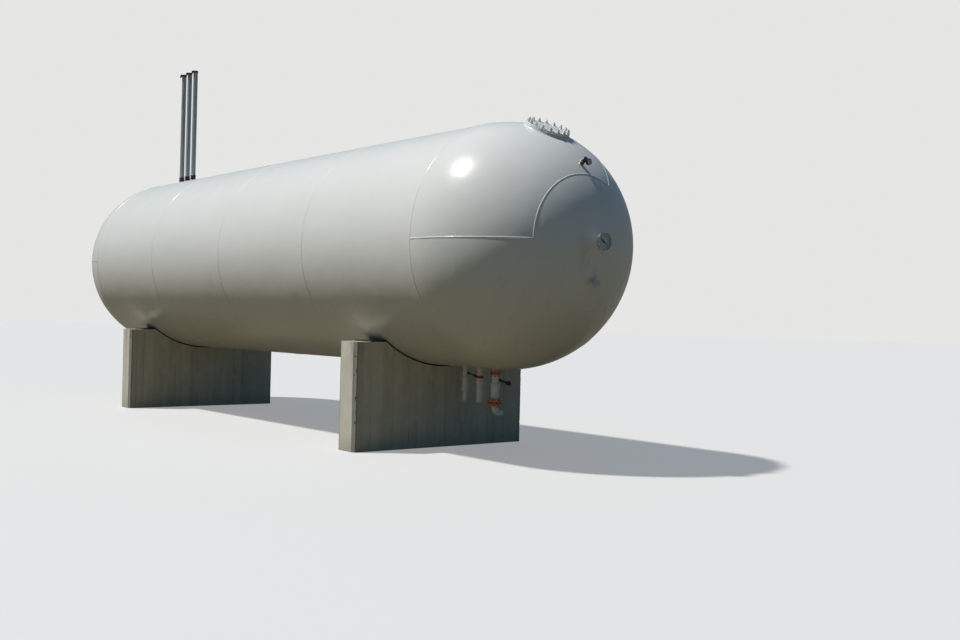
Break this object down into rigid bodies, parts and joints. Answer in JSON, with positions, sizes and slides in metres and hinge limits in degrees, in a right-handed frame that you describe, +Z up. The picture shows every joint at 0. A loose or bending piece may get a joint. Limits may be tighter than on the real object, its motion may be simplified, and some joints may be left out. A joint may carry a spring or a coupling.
{
  "type": "horizontal pressure tank",
  "caption": "White horizontal pressure tank with hemispherical plate heads, manway, gauges, bottom outlets and vent stacks, on two concrete cradle piers.",
  "frame": {"origin": "on the ground, below the middle of the tank's whole length", "axes": "+X along the tank towards the instrument head, +Y across it towards the rear side, +Z up"},
  "size_m": [14.077, 3.3347, 6.8045],
  "materials": {
    "tank_paint": "gloss white enamel with weathering",
    "fitting_paint": "satin white paint on cast and turned fittings",
    "galvanised": "weathered zinc coating",
    "dark_iron": "black coated iron",
    "orange_paint": "orange enamel, faded",
    "red_paint": "dull red enamel",
    "bright_metal": "polished bezel metal",
    "dial_face": "plain grey dial",
    "glass": "flat gauge glass",
    "white_plastic": "white moulded plug",
    "concrete": "form-cast concrete with board marks",
    "felt": "black bituminous felt"
  },
  "bodies": {
    "tank": {"shell_course_1": "tank_paint", "shell_course_2": "tank_paint", "shell_course_3": "tank_paint", "shell_course_4": "tank_paint", "near_head_petal_1": "tank_paint", "near_head_petal_2": "tank_paint", "near_head_petal_3": "tank_paint", "near_head_crown": "tank_paint", "far_head_petal_1": "tank_paint", "far_head_petal_2": "tank_paint", "far_head_petal_3": "tank_paint", "far_head_crown": "tank_paint", "shell_welds": "tank_paint", "near_head_welds": "tank_paint", "far_head_welds": "tank_paint", "manway_pad": "tank_paint", "manway_gasket": "felt", "manway_cover": "tank_paint", "level_gauge_boss": "tank_paint", "level_gauge_case": "bright_metal", "level_gauge_dial": "dial_face", "level_gauge_pointer": "dark_iron", "level_gauge_glass": "glass", "thermometer_well": "tank_paint", "thermometer_case": "bright_metal", "gauge_valve": "dark_iron", "gauge_valve_plug": "white_plastic", "pressure_gauge": "dark_iron", "gauge_dials": "dial_face", "outlet_nozzles": "tank_paint", "vapour_valve": "fitting_paint", "vapour_riser": "fitting_paint", "fill_valve": "fitting_paint", "fill_band": "red_paint", "fill_riser": "fitting_paint", "liquid_valve": "fitting_paint", "liquid_elbow": "fitting_paint", "liquid_flanges": "orange_paint", "relief_nozzles": "tank_paint", "relief_valves": "dark_iron", "vent_stacks": "galvanised", "rain_caps": "dark_iron", "near_pier": "concrete", "far_pier": "concrete", "pier_felts": "felt"},
    "vapour_handle": {"vapour_lever": "dark_iron"},
    "liquid_handle": {"liquid_lever": "dark_iron"}
  },
  "joints": [
    {"name": "vapour_lever_turn", "type": "hinge", "parent": "tank", "child": "vapour_handle", "pos_m": [4.423, 0, 1.0985], "axis": [1, 0, 0], "range_deg": [-70, 0]},
    {"name": "liquid_lever_turn", "type": "hinge", "parent": "tank", "child": "liquid_handle", "pos_m": [5.117, 0, 1.0365], "axis": [1, 0, 0], "range_deg": [-70, 0]}
  ]
}
